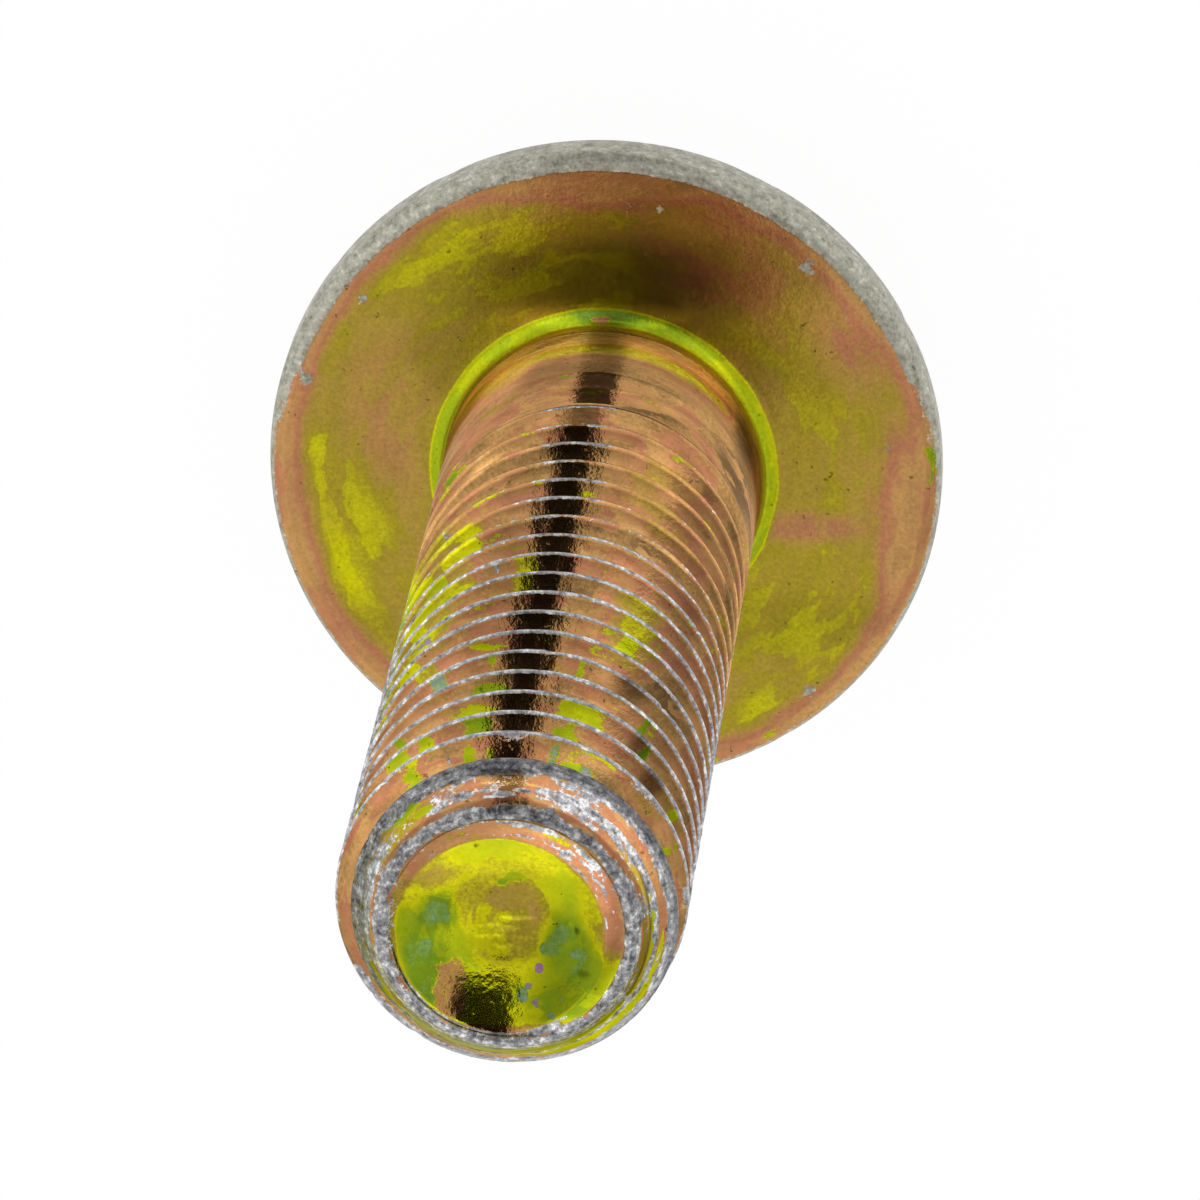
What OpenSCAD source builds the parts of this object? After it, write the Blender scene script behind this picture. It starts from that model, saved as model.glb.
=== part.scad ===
// Hex flange screw with a plain shank, forged and rolled as one piece of steel.
// It stands on the flat top of its head, so +Z runs along the shank to the dished end.

/* [Head] */
// Width across the flats of the hexagon
across_flats = 13; // [12:0.5:17]
// Height of the head, from its flat top to the bearing face
head_h = 9.2; // [8:0.1:11]
// Diameter of the flat top, inside the crown's bevel
crown_d = 12.2; // [11:0.2:14.8]
// Slope of the crown's bevel
crown_angle = 30; // [15:1:40]

/* [Flange] */
// Diameter of the flange
flange_d = 21; // [19.6:0.1:23]
// Thickness of the flange at its rim
rim_h = 1.7; // [1.5:0.1:2.4]
// Rounding of the rim beside the bearing face
rim_round = 0.5; // [0.2:0.05:0.7]
// Rounding of the rim beside the sloping top
rim_back_round = 0.4; // [0.2:0.05:0.7]
// Slope of the flange's top, from the rim up to the hexagon
flange_slope = 25; // [15:1:30]
// Radius of the fillet between the bearing face and the shank
fillet_r = 0.55; // [0.3:0.05:0.8]

/* [Shank] */
// Length under the head, from the bearing face to the end of the screw
screw_length = 35; // [32:1:60]
// Diameter of the plain shank
shank_d = 9.9; // [9.1:0.05:10]

/* [Thread] */
// Diameter over the thread's crests
thread_d = 9.86; // [9.6:0.02:9.98]
// Pitch of the thread
thread_pitch = 1.5; // [1.25:0.25:1.75]
// Length of full thread, from the end of the screw
thread_length = 26; // [18:1:27]
// Turns over which the groove runs out into the shank
run_out_turns = 1.75; // [1:0.25:2]
// Angle about the axis at which the crest's helix meets the end face, where the bevel cuts it off
thread_turn = 115; // [0:5:355]

/* [Point] */
// Diameter of the end face
end_d = 7.2; // [6:0.1:7.8]
// Angle between the bevelled point and the axis
point_angle = 36; // [35:1:50]
// Diameter of the dish in the end face
dish_d = 6.1; // [5:0.1:6.6]
// Diameter of the flat floor in the middle of the dish
dish_floor_d = 2.9; // [2:0.1:3.4]
// Depth of the floor below the end face
dish_depth = 0.4; // [0.3:0.05:1]

/* [Hidden] */
$fn = 96;

// Lengths by which pieces of the one solid run into each other
overlap = 0.5;
shank_end_z = head_h + screw_length - thread_length - run_out_turns * thread_pitch;
end_z = head_h + screw_length;

// The basic profile of a metric thread: 60 degree flanks, with an eighth of the pitch flat at the crest
// and a quarter flat at the root
flank_angle = 30;
crest_w = thread_pitch / 8;
root_w = thread_pitch / 4;
flank_w = (thread_pitch - crest_w - root_w) / 2;
crest_r = thread_d / 2;
root_r = crest_r - flank_w / tan(flank_angle);

// Places of the ridge's four edges, from its middle
edge_z = [-crest_w / 2 - flank_w, -crest_w / 2, crest_w / 2, crest_w / 2 + flank_w];
edge_r = [root_r, crest_r, crest_r, root_r];

// The ridge is swept up a helix, so many steps to a turn, from inside the shank to one turn past the end
steps = 40;
sweep_low_z = shank_end_z - 2 * thread_pitch;
turns_below_end = floor((end_z - sweep_low_z + edge_z[0]) / thread_pitch - 0.1);
sweep_turns = turns_below_end + 1;
sweep_steps = sweep_turns * steps;
tuck_r = min(shank_d, thread_d) / 2 - 0.03;

// Share of the thread's full depth at a height, from 0 at the shank to 1 at the full thread
function depth_share(z) = let (t = (z - shank_end_z) / (run_out_turns * thread_pitch))
    t <= 0 ? 0 : t >= 1 ? 1 : t * t * (3 - 2 * t);

// One point of the ridge's edge, a number of steps up the helix
function ridge_point(step, edge) =
    let (
        a = thread_turn + 360 * step / steps,
        z = end_z + thread_pitch * (step / steps - turns_below_end) + edge_z[edge],
        r = tuck_r + (edge_r[edge] - tuck_r) * depth_share(z)
    )
    [r * cos(a), r * sin(a), z];

// One point of a flat ring that closes the sweep
function ring_point(step, r, z) = let (a = thread_turn + 360 * step / steps) [r * cos(a), r * sin(a), z];

// Two triangles for a face with four corners, and a fan of them from one corner over a row of others
function quad(a, b, c, d) = [[a, b, c], [a, c, d]];
function fan(a, others) = [for (k = [0 : len(others) - 2]) [a, others[k], others[k + 1]]];

// The steel under the thread with its helical ridge, as one closed solid
module ridged_core() {
    sweep_high_z = end_z + 2 * thread_pitch;
    points = [
        for (s = [0 : sweep_steps]) for (e = [0 : 3]) ridge_point(s, e),
        for (s = [0 : steps - 1]) ring_point(s, tuck_r, sweep_low_z),
        for (s = [0 : steps - 1]) ring_point(s, root_r, sweep_high_z)
    ];
    // Numbers of the points: edge e of the ridge at step s, and the low and high rings
    function p(s, e) = 4 * s + e;
    function low(s) = 4 * (sweep_steps + 1) + s % steps;
    function high(s) = low(0) + steps + s % steps;
    top = sweep_steps - steps;
    faces = [
        // Flanks and crests
        for (s = [0 : sweep_steps - 1]) for (e = [0 : 2])
            each quad(p(s, e), p(s, e + 1), p(s + 1, e + 1), p(s + 1, e)),
        // Roots, between one turn and the next
        for (s = [0 : top - 1]) each quad(p(s, 3), p(s + steps, 0), p(s + steps + 1, 0), p(s + 1, 3)),
        // From the low ring up to the first turn, closed by a fan over the start of the ridge
        for (s = [0 : steps - 2]) each quad(low(s), p(s, 0), p(s + 1, 0), low(s + 1)),
        each fan(p(steps - 1, 0), [p(steps, 0), p(0, 3), p(0, 2), p(0, 1), p(0, 0), low(0), low(steps - 1)]),
        // From the last turn up to the high ring, closed by a fan over the end of the ridge
        for (s = [1 : steps - 1]) each quad(p(top + s, 3), high(s), high(s + 1), p(top + s + 1, 3)),
        each fan(
            p(top + 1, 3),
            [p(top, 3), p(sweep_steps, 0), p(sweep_steps, 1), p(sweep_steps, 2), p(sweep_steps, 3), high(0), high(1)]
        ),
        // The two flat ends
        [for (s = [0 : steps - 1]) low(s)],
        [for (s = [steps - 1 : -1 : 0]) high(s)]
    ];
    polyhedron(points, faces);
}

// What the bevelled point leaves of the thread
module point_envelope() {
    margin = 1;
    bevel_w = crest_r + margin - end_d / 2;
    bevel_h = bevel_w / tan(point_angle);
    rotate_extrude()
        polygon([
            [0, sweep_low_z - margin],
            [crest_r + margin, sweep_low_z - margin],
            [crest_r + margin, end_z - bevel_h],
            [end_d / 2, end_z],
            [0, end_z]
        ]);
}

// The dish that rolling leaves in the end face: a bowl that is part of a sphere, with a flat floor
module end_dish() {
    mouth_r = dish_d / 2;
    floor_r = dish_floor_d / 2;
    centre_h = (mouth_r ^ 2 - floor_r ^ 2 - dish_depth ^ 2) / (2 * dish_depth);
    intersection() {
        translate([0, 0, end_z + centre_h]) sphere(sqrt(mouth_r ^ 2 + centre_h ^ 2));
        translate([0, 0, end_z - dish_depth]) cylinder(r = mouth_r + overlap, h = dish_depth + overlap);
    }
}

// The threaded end
module thread() {
    difference() {
        intersection() {
            ridged_core();
            point_envelope();
        }
        end_dish();
    }
}

// The plain shank with its fillet
module shank() {
    shank_r = shank_d / 2;
    translate([0, 0, head_h - overlap]) cylinder(r = shank_r, h = shank_end_z - head_h + overlap);
    translate([0, 0, head_h])
        rotate_extrude()
            difference() {
                translate([shank_r - overlap, -overlap]) square([fillet_r + overlap, fillet_r + overlap]);
                translate([shank_r + fillet_r, fillet_r]) circle(fillet_r);
            }
}

// The round flange: flat under the head, rounded at the rim and sloping up to the hexagon
module flange() {
    flange_r = flange_d / 2;
    back_z = head_h - rim_h + rim_back_round;
    slope_start = [
        flange_r - rim_back_round + rim_back_round * sin(flange_slope),
        back_z - rim_back_round * cos(flange_slope)
    ];
    inner_r = across_flats / 4;
    inner_z = slope_start.y - (slope_start.x - inner_r) * tan(flange_slope);
    rotate_extrude() {
        polygon([
            [0, inner_z],
            [inner_r, inner_z],
            slope_start,
            [flange_r, back_z],
            [flange_r, head_h - rim_round],
            [flange_r - rim_round, head_h],
            [0, head_h]
        ]);
        translate([flange_r - rim_round, head_h - rim_round]) circle(rim_round);
        translate([flange_r - rim_back_round, back_z]) circle(rim_back_round);
    }
}

// The hexagon with its bevelled crown
module hexagon() {
    corner_r = across_flats / 2 / cos(30);
    bevel_w = corner_r + overlap - crown_d / 2;
    intersection() {
        cylinder(r = corner_r, h = head_h - overlap, $fn = 6);
        rotate_extrude()
            polygon([
                [0, 0],
                [crown_d / 2, 0],
                [crown_d / 2 + bevel_w, bevel_w * tan(crown_angle)],
                [crown_d / 2 + bevel_w, head_h],
                [0, head_h]
            ]);
    }
}

// The whole screw is one solid
module flange_screw() {
    color("darkkhaki") {
        hexagon();
        flange();
        shank();
        thread();
    }
}

flange_screw();
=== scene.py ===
"""The looks of a hex flange screw: one forged and rolled piece in worn, yellow-passivated zinc.

The screw, all heights and the camera's place are in millimetres, and a mesh is scaled to metres when it
is made. Floor, lamps and the distance of cards are in metres. Heights run from the head's flat top to
the dished end, and depths run back from the end face. Turns are angles about the screw's axis.
"""
import itertools
import logging
import math
from dataclasses import dataclass, field
from enum import Enum
from typing import ClassVar

import bpy
import numpy as np
from mathutils import Matrix, Vector


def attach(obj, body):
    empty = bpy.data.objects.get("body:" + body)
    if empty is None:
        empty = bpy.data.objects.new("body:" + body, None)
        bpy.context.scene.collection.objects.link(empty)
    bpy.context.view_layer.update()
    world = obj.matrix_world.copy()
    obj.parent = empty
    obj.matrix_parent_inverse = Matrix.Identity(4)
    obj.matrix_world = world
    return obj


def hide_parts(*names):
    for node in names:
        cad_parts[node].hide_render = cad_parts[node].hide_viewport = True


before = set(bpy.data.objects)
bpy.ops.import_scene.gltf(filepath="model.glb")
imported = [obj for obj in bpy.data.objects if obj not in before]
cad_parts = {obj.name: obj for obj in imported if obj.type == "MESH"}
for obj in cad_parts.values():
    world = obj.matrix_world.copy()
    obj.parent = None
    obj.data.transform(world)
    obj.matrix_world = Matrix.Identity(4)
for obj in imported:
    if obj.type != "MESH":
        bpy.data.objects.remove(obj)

log = logging.getLogger("flange_screw")

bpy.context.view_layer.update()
NODE = "flange_screw"
MM = 0.001
COLUMNS = 224
BARE = -1.0
BARE_WORN = 0.72
HEAD_FILM = 0.34
SEAM_TURN = math.radians(90)
TURNS = SEAM_TURN + np.arange(COLUMNS) * 2 * math.pi / COLUMNS
NEAR_TURNS = (270 - np.degrees(TURNS) + 180) % 360 - 180

Number = "float | Sock"
Colour = tuple[float, float, float]


class Zone(Enum):
    """The areas of the screw that have a finish of their own, by material index."""

    HEAD = 0
    BEARING = 1
    NECK = 2
    THREAD = 3
    POINT = 4
    DISH = 5


def smooth_step(low: float, high: float, value: np.ndarray) -> np.ndarray:
    """Rises smoothly from 0 at low to 1 at high."""
    share = np.clip((value - low) / (high - low), 0, 1)
    return share * share * (3 - 2 * share)


def mix(first: "float | np.ndarray", second: "float | np.ndarray", share: "float | np.ndarray") -> np.ndarray:
    """Gives the value at a share of the way from one to another."""
    return first + (second - first) * share


def climb(steps: tuple[tuple[float, float, float], ...], value: np.ndarray) -> np.ndarray:
    """Adds up smooth steps, each from its height, its start and its end."""
    return sum(rise * smooth_step(low, high, value) for rise, low, high in steps)


def smooth_min(first: np.ndarray, second: np.ndarray, rounding: float) -> np.ndarray:
    """Takes the lower of two surfaces, which blend where they differ by less than the rounding."""
    share = np.clip(0.5 + 0.5 * (second - first) / rounding, 0, 1)
    return mix(second, first, share) - rounding * share * (1 - share)


def turn_step(middle: float, low: float, high: float) -> np.ndarray:
    """Steps from 0 to 1 between two distances from a turn, in degrees, where 0 is the camera's side."""
    return smooth_step(low, high, np.abs(NEAR_TURNS - middle))


class Grain:
    """Smooth seeded noise in space, made from a repeating lattice of random values."""

    LATTICE = 32

    def __init__(self, seed: int) -> None:
        """Draws the lattice from a seed."""
        self.values = np.random.default_rng(seed).uniform(-1, 1, (self.LATTICE,) * 3)

    def at(self, places: np.ndarray, spacing: float) -> np.ndarray:
        """Gives the noise at some places.

        Args:
            places: Points, with x, y and z along the last axis.
            spacing: Distance between two values of the lattice.

        Returns:
            Values from -1 to 1.
        """
        cells = np.floor(places / spacing)
        part = places / spacing - cells
        part = part * part * (3 - 2 * part)
        cells = cells.astype(int)
        total = np.zeros(places.shape[:-1])
        for corner in itertools.product((0, 1), repeat=3):
            weight = np.prod(np.where(corner, part, 1 - part), axis=-1)
            index = (cells + corner) % self.LATTICE
            total += weight * self.values[index[..., 0], index[..., 1], index[..., 2]]
        return total

    def rough(self, places: np.ndarray, spacing: float, layers: int = 3) -> np.ndarray:
        """Adds finer and weaker layers to the noise, for values from about -1 to 1."""
        total = sum(self.at(places + 7.3 * k, spacing / 2**k) / 2**k for k in range(layers))
        return total / 1.5


@dataclass(frozen=True)
class Stain:
    """An elliptical patch over two directions of a surface, with the film, or a lightness factor that mostly
    paints light and shade, inside it.
    """

    across: float
    along: float
    half_across: float
    half_along: float
    level: float

    def share(self, across: np.ndarray, along: np.ndarray) -> np.ndarray:
        """Gives how far inside the patch some points are.

        Args:
            across: Places of the points in the first direction.
            along: Places in the second.

        Returns:
            1 in the middle of the patch, 0.5 at its edge and 0 outside it.
        """
        sideways = (across - self.across + 180) % 360 - 180
        away = np.hypot(sideways / self.half_across, (along - self.along) / self.half_along)
        return np.clip(1.5 - away, 0, 1)


def marks(*values: tuple[float, ...]) -> tuple[Stain, ...]:
    """Makes stains, each from its across, along, half_across, half_along and level."""
    return tuple(Stain(*row) for row in values)


@dataclass
class Rows:
    """Rows of points over the screw's surface, each row once round the axis."""

    radius: np.ndarray
    height: np.ndarray
    zone: Zone
    film: np.ndarray | float = 0.2
    worn: np.ndarray | float = 0.0
    crumple: np.ndarray | float = 0.0
    shift_x: np.ndarray | float = 0.0
    shift_y: np.ndarray | float = 0.0
    stain: np.ndarray | float = 0.0
    tint: np.ndarray | float = 0.5
    groove: np.ndarray | float = 0.0
    # A factor on the colour: mostly painted light and shade (painted highlights, painted reflections, painted
    # shade), with some plain lightness differences.
    tone: np.ndarray | float = 1.0

    FIELDS: ClassVar[tuple[str, ...]] = ("film", "worn", "crumple", "stain", "tint", "groove", "tone")

    def __post_init__(self) -> None:
        """Spreads single values over all points."""
        shape = np.broadcast_shapes(np.shape(self.radius), np.shape(self.height), (1, COLUMNS))
        for name in ("radius", "height", "shift_x", "shift_y", *self.FIELDS):
            setattr(self, name, np.array(np.broadcast_to(getattr(self, name), shape), dtype=float))

    def places(self) -> np.ndarray:
        """Works out where the points are.

        Returns:
            Their x, y and z along the last axis.
        """
        x = self.shift_x + self.radius * np.cos(TURNS)
        y = self.shift_y + self.radius * np.sin(TURNS)
        return np.stack([x, y, self.height], axis=-1)

    def fields(self) -> np.ndarray:
        """Gives the values that the finishes read, one kind after another."""
        return np.stack([getattr(self, name) for name in self.FIELDS])

    def spread(self) -> tuple[np.ndarray, np.ndarray]:
        """Picks the two directions in which stains are laid over the zone.

        Returns:
            Each point's x and y, or its turn from the camera's side and its height or radius.
        """
        places = self.places()
        near = np.broadcast_to(NEAR_TURNS, self.radius.shape)
        if self.zone in (Zone.NECK, Zone.THREAD):
            return near, self.height
        if self.zone is Zone.POINT:
            return near, np.hypot(places[..., 0], places[..., 1])
        return places[..., 0], places[..., 1]

    def spot(self, *stains: Stain) -> "Rows":
        """Lays stains with ragged edges over the points.

        Args:
            stains: The stains, with a film or BARE as their level.

        Returns:
            The rows themselves.
        """
        across, along = self.spread()
        for stain in stains:
            share = stain.share(across, along)
            if stain.level == BARE:
                self.worn = np.maximum(self.worn, BARE_WORN * share)
                continue
            self.tint = np.where(share >= self.stain, stain.level, self.tint)
            self.stain = np.maximum(self.stain, share)
        return self

    def blush(self, *stains: Stain) -> "Rows":
        """Lays stains with soft edges over the points.

        Args:
            stains: The stains, with a film as their level.

        Returns:
            The rows themselves.
        """
        across, along = self.spread()
        for stain in stains:
            share = smooth_step(0.0, 1.0, stain.share(across, along))
            self.film = mix(self.film, stain.level, share)
        return self

    def shade(self, *stains: Stain) -> "Rows":
        """Darkens or lightens soft patches of the points, which mostly paints light and shade.

        Args:
            stains: The patches, with a factor as their level.

        Returns:
            The rows themselves.
        """
        across, along = self.spread()
        for stain in stains:
            self.tone *= 1 + (stain.level - 1) * smooth_step(0.0, 1.0, stain.share(across, along))
        return self


def column(values: "list[float] | tuple[float, ...] | np.ndarray") -> np.ndarray:
    """Stands a list of values up, one to a row."""
    return np.array(values, dtype=float)[:, None]


def rings(parts: "list[tuple[float | np.ndarray, float | np.ndarray]]") -> tuple[np.ndarray, ...]:
    """Gives the radii and the heights of some rings, one row to a ring."""
    return tuple(np.array([np.broadcast_to(value, COLUMNS) for value in values]) for values in zip(*parts))


@dataclass
class Hexagon:
    """The driving hexagon with its flat top and bevelled crown."""

    across_flats: float = 13.0
    crown_d: float = 12.2
    crown_angle: float = 30.0
    corner_round: float = 0.22
    edge_round: float = 0.08
    foot_round: float = 0.26
    top_shares: tuple[float, ...] = (0.12, 0.25, 0.42, 0.6, 0.76, 0.9)
    top_edge: tuple[tuple[float, float], ...] = ((-1.4, 0.0), (-0.4, 0.06), (0.45, 0.4), (1.2, 0.7))
    crown_shares: tuple[float, ...] = (0.3, 0.55, 0.8)
    side_edge: tuple[tuple[float, float], ...] = ((0.7, -0.45), (0.2, 0.0), (0.0, 0.6))
    side_shares: tuple[float, ...] = (0.12, 0.3, 0.5, 0.7, 0.9)
    foot_shares: tuple[float, ...] = (0.0, 0.3, 0.6, 1.0)
    top_edge_worn: float = 0.5
    side_edge_worn: float = 0.55
    corner_worn: float = 0.6

    def side_radius(self) -> np.ndarray:
        """Works out the hexagon's outline, with its corners rounded.

        Returns:
            The distance from the axis to the side at each turn.
        """
        flats = self.across_flats / 2
        to_flat = np.cos(TURNS[:, None] - np.radians(np.arange(30, 390, 60)))
        ranked = np.sort(flats / np.maximum(to_flat, 0.1), axis=1)
        return smooth_min(ranked[:, 0], ranked[:, 1], self.corner_round)

    def rows(self, flange: "Flange", grain: Grain) -> Rows:
        """Lays rows from the middle of the top, over the crown and down the sides to the flange.

        Args:
            flange: The flange that the hexagon stands on.
            grain: Noise for the worn corners.

        Returns:
            The rows, which end at the end of the fillet on the flange's slope.
        """
        side = self.side_radius()
        crown_r = self.crown_d / 2
        shoulder = (side - crown_r) * math.tan(math.radians(self.crown_angle))
        foot = flange.slope_height(side)
        slope = math.radians(flange.slope)
        edge = self.edge_round
        parts = [(share * crown_r, 0.0) for share in self.top_shares]
        parts += [(crown_r + out * edge, up * edge) for out, up in self.top_edge]
        parts += [(mix(crown_r, side, share), shoulder * share) for share in self.crown_shares]
        parts += [(side - inward * edge, shoulder + up * edge) for inward, up in self.side_edge]
        parts += [(side, mix(shoulder, foot - self.foot_round, share)) for share in self.side_shares]
        for share in self.foot_shares:
            up = foot - self.foot_round * (1 - share) ** 2 + self.foot_round * share**2 * math.sin(slope)
            parts.append((side + self.foot_round * share**2 * math.cos(slope), up))
        made = Rows(*rings(parts), Zone.HEAD, film=HEAD_FILM)
        flats = self.across_flats / 2
        top_edge, side_edge, sides = slice(6, 10), slice(13, 16), slice(13, 21)
        corners = smooth_step(0.4, 1.0, (side - flats) / (side.max() - flats))
        corners = corners + 0.3 * grain.rough(made.places()[sides], 1.4)
        made.worn[top_edge] = self.top_edge_worn
        made.worn[side_edge] = self.side_edge_worn
        made.worn[sides] = np.maximum(made.worn[sides], self.corner_worn * corners)
        return made


@dataclass
class Flange:
    """The round flange: a slope behind, a rounded rim and the flat bearing face."""

    diameter: float = 21.0
    bearing_height: float = 9.2
    rim_h: float = 1.7
    front_round: float = 0.5
    back_round: float = 0.4
    slope: float = 25.0
    fillet_r: float = 0.55
    border: float = 0.78
    border_wobble: float = 0.26
    border_film: float = 0.1
    dent_depth: float = 0.05
    wave: float = 0.012
    edge_film: float = 0.17
    rim_worn: float = 0.95
    side_wear: tuple[float, ...] = (0.0, 0.1, 0.35, 0.6, 0.7, 0.8)
    slope_shares: tuple[float, ...] = (0.25, 0.5, 0.75, 0.95)
    fillet_film: float = 0.69
    fillet_top_film: float = 0.09
    fillet_end_film: tuple[float, ...] = (0.55, 0.3, 0.08)
    fillet_painted_light: float = 0.22
    face_shares: tuple[float, ...] = (0.02, 0.05, 0.09, 0.15, 0.23, 0.33, 0.44, 0.56, 0.68, 0.79, 0.89, 0.96)
    # Painted light and shade on the bearing face: a painted reflection of the shank darkens the part behind
    # it, a painted highlight lightens the fillet's top, and the rest lighten or darken patches.
    painted_light_and_tone: tuple[Stain, ...] = marks(
        (-0.3, -6.3, 4.4, 1.5, 0.5), (-0.5, -8.6, 4.5, 1.2, 1.3), (-6, -6.6, 2.6, 2.2, 1.25),
        (4.8, -4.2, 1.2, 1.6, 0.8), (-5.8, -7.6, 2.6, 2, 0.85), (0, -5.2, 2.6, 0.35, 2.3),
        (-2.2, 5, 8, 1, 0.85),
    )
    blushes: tuple[Stain, ...] = marks(
        (-0.3, -6.9, 5.4, 1.9, 0.5), (4.8, -7.3, 2.2, 2, 0.52), (8.3, 2.2, 1.4, 3.4, 0.5),
        (6.6, -2, 1.3, 2.6, 0.37), (-4.6, -7.6, 3, 2.4, 0.34), (-8.3, -5, 1.6, 2.4, 0.3),
        (-6.6, 4.6, 1.8, 3.4, 0.5), (-6.4, -1.4, 1.4, 1.4, 0.48), (-9.3, 2.5, 0.8, 3.6, 0.14),
        (-6.2, 1.8, 1.8, 0.5, 0.3), (0, -9.3, 3.2, 0.5, 0.16), (8.3, 3.2, 0.8, 1.2, 0.56),
        (9, -0.4, 0.6, 1, 0.53), (-5.2, 8.2, 1.1, 0.8, 0.55), (4.9, -7.6, 1, 1.1, 0.54),
    )
    stains: tuple[Stain, ...] = marks(
        (-0.1, -5.13, 0.36, 0.1, 0.3), (-2, -8.6, 0.28, 0.22, BARE), (-6.5, -6.8, 0.25, 0.4, BARE),
        (9.2, -3.2, 0.25, 0.35, BARE), (-8.8, -0.8, 0.2, 0.3, BARE), (-6.2, 7.3, 0.3, 0.25, BARE),
        (7.3, -5.8, 0.25, 0.25, BARE),
    )

    def slope_start(self) -> tuple[float, float]:
        """Works out where the back rounding runs into the slope.

        Returns:
            The radius and height.
        """
        slope = math.radians(self.slope)
        centre_r = self.diameter / 2 - self.back_round
        centre_z = self.bearing_height - self.rim_h + self.back_round
        return centre_r + self.back_round * math.sin(slope), centre_z - self.back_round * math.cos(slope)

    def slope_height(self, radius: np.ndarray) -> np.ndarray:
        """Gives the slope's height at a distance from the axis."""
        start_r, start_z = self.slope_start()
        return start_z - (start_r - radius) * math.tan(math.radians(self.slope))

    def bend(self, height: float, rounding: float, degrees: tuple[float, ...]) -> list[tuple[float, float]]:
        """Lays rings round an edge of the rim.

        Args:
            height: Height of the rounding's centre.
            rounding: Radius of the rounding.
            degrees: Angles of the rings, from 0 where the rim is widest.

        Returns:
            The radius and height of each ring.
        """
        rim_r = self.diameter / 2
        return [
            (rim_r - rounding * (1 - math.cos(turn)), height + rounding * math.sin(turn))
            for turn in np.radians(degrees)
        ]

    def rim_rows(self, inner: np.ndarray, grain: Grain) -> Rows:
        """Lays rows up the slope and round the rim.

        Args:
            inner: Distance from the axis at which the slope starts, at each turn.
            grain: Noise for the rim's dents.

        Returns:
            The rows, which end where the bearing face starts.
        """
        start_r = self.slope_start()[0]
        back_z = self.bearing_height - self.rim_h + self.back_round
        front_z = self.bearing_height - self.front_round
        slope = [mix(inner, start_r, share) for share in self.slope_shares]
        parts = [(radius, self.slope_height(radius)) for radius in slope]
        parts += self.bend(back_z, self.back_round, (self.slope - 90, -40, -20, 0))
        parts += [(self.diameter / 2, mix(back_z, front_z, share)) for share in (0.33, 0.67)]
        parts += self.bend(front_z, self.front_round, (0, 18, 36, 54, 72, 90))
        made = Rows(*rings(parts), Zone.HEAD, film=HEAD_FILM, crumple=0.5)
        rim, dented, front = slice(3, None), slice(6, 12), slice(-6, None)
        made.worn[rim] = column([0.4] + [self.rim_worn] * (len(parts) - 5) + [0.8])
        sides = turn_step(0, 50, 95) + 0.3 * grain.rough(made.places()[front], 1.2)
        made.worn[front] -= column(self.side_wear) * np.clip(sides, 0, 1)
        made.film[front] = self.edge_film
        dents = smooth_step(0.2, 0.8, grain.rough(made.places()[dented], 1.6))
        made.radius[dented] -= self.dent_depth * dents
        return made

    def bearing_rows(self, shank_r: float, grain: Grain) -> Rows:
        """Lays rows over the bearing face and up the fillet.

        Args:
            shank_r: Radius of the shank.
            grain: Noise for the border of the worn rim.

        Returns:
            The rows, which end where the shank starts.
        """
        outer = self.diameter / 2 - self.front_round
        inner = shank_r + self.fillet_r
        face = [mix(outer, inner, share) for share in self.face_shares]
        bends = np.radians(np.linspace(-90, -180, 8))
        radius = face + [inner + self.fillet_r * math.cos(bend) for bend in bends]
        height = [self.bearing_height] * len(face)
        height += [self.bearing_height + self.fillet_r * (1 + math.sin(bend)) for bend in bends]
        made = Rows(column(radius), column(height), Zone.BEARING, film=0.45)
        places = made.places()
        made.blush(*self.blushes)
        away = outer - made.radius + self.border_wobble * grain.rough(places, 1.8)
        made.film += (self.border_film - made.film) * 0.8 * smooth_step(self.border, 0.05, away)
        fillet = smooth_step(inner - 0.01, inner - 0.1, made.radius)
        made.film += (self.fillet_film + self.fillet_top_film * turn_step(0, 45, 5) - made.film) * fillet
        made.film[-3:] = column(self.fillet_end_film)
        # Painted light: the fillet is lightened.
        made.tone += self.fillet_painted_light * fillet
        made.worn = 0.8 * smooth_step(0.16, -0.1, away) * turn_step(0, 95, 50)
        made.height[:-8] += self.wave * grain.rough(places, 2.0)[:-8]
        return made.spot(*self.stains).shade(*self.painted_light_and_tone)


@dataclass
class Shank:
    """The plain shank between the fillet and the thread."""

    diameter: float = 9.9
    start: float = 9.75
    end: float = 13.7
    groove_start: float = 10.0
    film: float = 0.14
    # The first two blushes give the brown and the yellow band above the fillet: the neck's film there, and
    # painted reflections of the flange and of the fillet.
    blushes: tuple[Stain, ...] = marks(
        (0, 10.3, 62, 0.55, 0.05), (8, 11.35, 56, 0.6, 0.5), (67, 11.5, 9, 1.2, 0.03),
        (-60, 11, 22, 1, 0.42), (-33, 12, 13, 0.9, 0.38),
    )
    # Painted light and shade on the neck: the brown and the yellow band are lightened, and patches at the
    # sides darkened or lightened.
    painted_light_and_tone: tuple[Stain, ...] = marks(
        (72, 12, 10, 2.4, 0.6), (-34, 12, 12, 1.2, 1.55), (-14, 13.2, 12, 1.3, 0.6),
        (32, 12.2, 20, 1.4, 0.82), (0, 10.3, 60, 0.5, 2.8), (5, 11.3, 50, 0.55, 1.8),
    )

    def rows(self) -> Rows:
        """Lays rows up the shank, evenly spaced.

        Returns:
            The rows, from just above the fillet to just below the thread.
        """
        heights = column(np.linspace(self.start, self.end, 16)[1:-1])
        groove = smooth_step(self.start, self.groove_start, heights)
        made = Rows(self.diameter / 2, heights, Zone.NECK, film=self.film, groove=groove)
        return made.blush(*self.blushes).shade(*self.painted_light_and_tone)


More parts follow.
